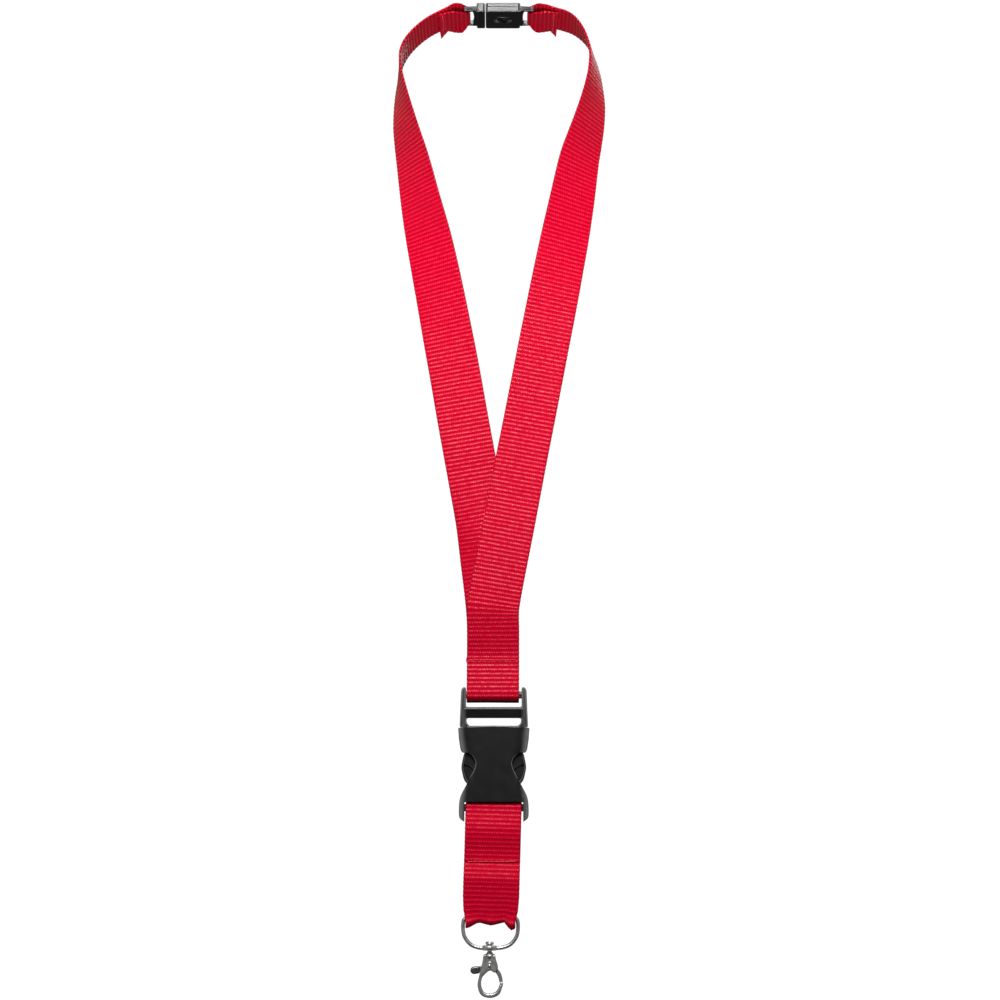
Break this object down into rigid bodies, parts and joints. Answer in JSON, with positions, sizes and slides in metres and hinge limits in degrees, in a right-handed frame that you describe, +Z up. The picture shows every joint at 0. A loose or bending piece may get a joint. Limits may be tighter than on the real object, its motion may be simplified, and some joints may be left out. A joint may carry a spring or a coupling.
{
  "type": "neck lanyard",
  "caption": "Ribbed red neck lanyard with a breakaway clip at the back, a side-release buckle, and a metal D-ring with a swivel trigger hook.",
  "frame": {"origin": "where the back of the neck bears on the loop, just under the breakaway clip; the lanyard hangs down from it", "axes": "+Z up, +X to the right as seen from the front, -Y towards the viewer, away from the wearer's chest"},
  "size_m": [0.1075, 0.025, 0.4847],
  "materials": {
    "webbing": "ribbed polyester webbing, low sheen",
    "thread": "twisted polyester sewing thread",
    "plastic": "fine-grained moulded acetal",
    "nickel": "nickel plate over die-cast zinc and wire"
  },
  "bodies": {
    "neck_loop": {"right_neck_strap": "webbing", "left_strap_end": "webbing", "join_stitching": "thread", "right_clip_stitching": "thread", "breakaway_socket": "plastic"},
    "left_strap": {"left_neck_strap": "webbing", "left_clip_stitching": "thread", "breakaway_plug": "plastic", "breakaway_tongue": "plastic"},
    "frame": {"buckle_frame": "plastic"},
    "prong_left": {"buckle_prong_left": "plastic"},
    "prong_right": {"buckle_prong_right": "plastic"},
    "housing": {"buckle_housing": "plastic"},
    "drop_strap": {"lower_strap": "webbing", "lower_strap_stitching": "thread"},
    "ring": {"d_ring": "nickel"},
    "hook": {"swivel_rivet": "nickel", "hook_body": "nickel", "gate_pin": "nickel", "gate_spring": "nickel"},
    "gate": {"hook_gate": "nickel"}
  },
  "joints": [
    {"name": "breakaway_open", "type": "hinge", "parent": "neck_loop", "child": "left_strap", "pos_m": [-0.0055, 0, -0.2528], "axis": [0, -1, 0], "range_deg": [0, 20], "deforming": ["breakaway_tongue"]},
    {"name": "buckle_swing", "type": "hinge", "parent": "neck_loop", "child": "frame", "pos_m": [0.0004, 0, -0.336], "axis": [1, 0, 0], "range_deg": [-70, 70]},
    {"name": "prong_left_squeeze", "type": "hinge", "parent": "frame", "child": "prong_left", "pos_m": [-0.0112, 0, -0.356], "axis": [0, -1, 0], "range_deg": [0, 8], "stiffness_Nm_per_rad": 0.05},
    {"name": "prong_right_squeeze", "type": "hinge", "parent": "frame", "child": "prong_right", "pos_m": [0.012, 0, -0.356], "axis": [0, -1, 0], "range_deg": [-8, 0], "stiffness_Nm_per_rad": 0.05},
    {"name": "buckle_release", "type": "slide", "parent": "frame", "child": "housing", "axis": [0, 0, -1], "range_m": [0, 0.03], "deforming": ["buckle_prong_left", "buckle_prong_right"]},
    {"name": "lower_strap_swing", "type": "hinge", "parent": "housing", "child": "drop_strap", "pos_m": [0.0004, 0, -0.389], "axis": [1, 0, 0], "range_deg": [-70, 70]},
    {"name": "ring_swing", "type": "hinge", "parent": "drop_strap", "child": "ring", "pos_m": [-0.0011, 0, -0.44], "axis": [1, 0, 0], "range_deg": [-75, 75]},
    {"name": "hook_swivel", "type": "hinge", "parent": "ring", "child": "hook", "pos_m": [-0.0015, 0, -0.4535], "axis": [0, 0, 1], "continuous": true},
    {"name": "gate_open", "type": "hinge", "parent": "hook", "child": "gate", "pos_m": [-0.0015, 0, -0.4616], "axis": [0, 1, 0], "range_deg": [0, 22], "stiffness_Nm_per_rad": 0.01, "deforming": ["gate_spring"]}
  ],
  "couplings": [
    {"joint": "prong_right_squeeze", "follows": "prong_left_squeeze", "ratio": -1}
  ]
}
